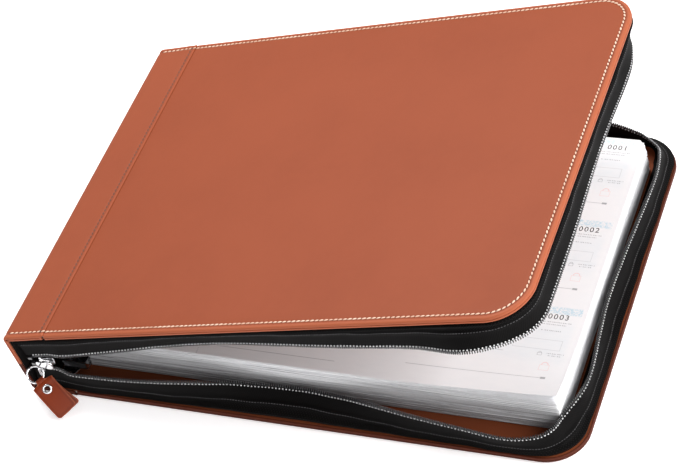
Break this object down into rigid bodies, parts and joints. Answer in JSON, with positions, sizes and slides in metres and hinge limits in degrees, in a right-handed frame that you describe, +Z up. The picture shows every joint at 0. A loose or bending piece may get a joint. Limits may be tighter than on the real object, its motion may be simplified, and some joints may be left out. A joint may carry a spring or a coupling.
{
  "type": "zip-round ring binder case",
  "caption": "Zip-round leatherette ring binder case, lying part open, with hinged covers, a zip slider and pull tab, an opening ring mechanism and a stack of punched sheets.",
  "frame": {"origin": "middle of the back cover's flat underside, where the case rests", "axes": "+X from the spine to the opening, +Y along the spine away from the slider, +Z up out of the back cover"},
  "size_m": [0.3863, 0.3038, 0.1382],
  "materials": {
    "cover_leather": "smooth satin leatherette, tan",
    "tab_leather": "smooth leatherette, dark tan",
    "lining": "thin leatherette lining, rust brown",
    "board": "grey-brown binder's board",
    "black_cloth": "woven polyester, black",
    "zip_coil": "nylon coil teeth, black",
    "polished_metal": "polished nickel plate",
    "satin_metal": "satin nickel-plated steel",
    "paper": "white printed sheets"
  },
  "bodies": {
    "back_cover": {"back_cover_leather": "cover_leather", "back_spine_strip": "cover_leather", "back_cover_board": "board", "back_cover_lining": "lining", "lower_gusset": "black_cloth", "lower_zip_tape": "black_cloth", "lower_zip_teeth": "zip_coil", "lower_zip_stop_near": "satin_metal", "lower_zip_stop_far": "satin_metal", "mechanism_base": "satin_metal", "mechanism_housing": "polished_metal", "mechanism_rivet_near": "polished_metal", "mechanism_rivet_far": "polished_metal", "sheet_stack": "paper"},
    "spine": {"spine_leather": "cover_leather", "spine_board": "board", "spine_lining": "black_cloth"},
    "front_cover": {"front_cover_leather": "cover_leather", "front_spine_strip": "cover_leather", "front_cover_board": "board", "front_cover_lining": "lining", "front_document_pocket": "lining", "upper_gusset": "black_cloth", "upper_zip_tape": "black_cloth", "upper_zip_teeth": "zip_coil", "upper_zip_stop_near": "satin_metal", "upper_zip_stop_far": "satin_metal"},
    "slider": {"slider_body": "polished_metal", "slider_bail": "polished_metal"},
    "jump_ring": {"jump_ring": "polished_metal"},
    "pull_tab": {"pull_tab": "tab_leather", "pull_eyelet": "polished_metal"},
    "left_rings": {"left_blade": "satin_metal", "left_half_ring_1": "polished_metal", "left_half_ring_2": "polished_metal", "left_half_ring_3": "polished_metal", "left_half_ring_4": "polished_metal", "left_half_ring_5": "polished_metal", "left_half_ring_6": "polished_metal", "left_half_ring_7": "polished_metal"},
    "right_rings": {"right_blade": "satin_metal", "right_half_ring_1": "polished_metal", "right_half_ring_2": "polished_metal", "right_half_ring_3": "polished_metal", "right_half_ring_4": "polished_metal", "right_half_ring_5": "polished_metal", "right_half_ring_6": "polished_metal", "right_half_ring_7": "polished_metal"},
    "near_trigger": {"trigger_near": "polished_metal"},
    "far_trigger": {"trigger_far": "polished_metal"}
  },
  "joints": [
    {"name": "spine_hinge", "type": "hinge", "parent": "back_cover", "child": "spine", "pos_m": [-0.1894, 0, 0.0006], "axis": [0, -1, 0], "range_deg": [-7.2, 82.8]},
    {"name": "cover_hinge", "type": "hinge", "parent": "spine", "child": "front_cover", "pos_m": [-0.19577, 0, 0.051], "axis": [0, -1, 0], "range_deg": [-6, 84]},
    {"name": "slider_run", "type": "slide", "parent": "back_cover", "child": "slider", "axis": [1, 0, 0], "range_m": [0, 0.32]},
    {"name": "ring_swing", "type": "hinge", "parent": "slider", "child": "jump_ring", "pos_m": [-0.1741, -0.1436, 0.026], "axis": [0, 0, 1], "range_deg": [-35, 5]},
    {"name": "tab_swing", "type": "hinge", "parent": "jump_ring", "child": "pull_tab", "pos_m": [-0.17306, -0.14789, 0.02174], "axis": [0.6425, 0.7047, 0.3012], "range_deg": [-100, 0]},
    {"name": "right_rings_open", "type": "hinge", "parent": "back_cover", "child": "right_rings", "pos_m": [-0.1565, 0, 0.0059], "axis": [0, 1, 0], "range_deg": [0, 8]},
    {"name": "left_rings_open", "type": "hinge", "parent": "back_cover", "child": "left_rings", "pos_m": [-0.1725, 0, 0.0059], "axis": [0, 1, 0], "range_deg": [-8, 0]},
    {"name": "near_trigger_press", "type": "hinge", "parent": "back_cover", "child": "near_trigger", "pos_m": [-0.1645, -0.1221, 0.0072], "axis": [1, 0, 0], "range_deg": [0, 24]},
    {"name": "far_trigger_press", "type": "hinge", "parent": "back_cover", "child": "far_trigger", "pos_m": [-0.1645, 0.1169, 0.0072], "axis": [1, 0, 0], "range_deg": [-24, 0]}
  ],
  "couplings": [
    {"joint": "left_rings_open", "follows": "right_rings_open", "ratio": -1},
    {"joint": "near_trigger_press", "follows": "right_rings_open", "ratio": 3},
    {"joint": "far_trigger_press", "follows": "right_rings_open", "ratio": -3}
  ]
}
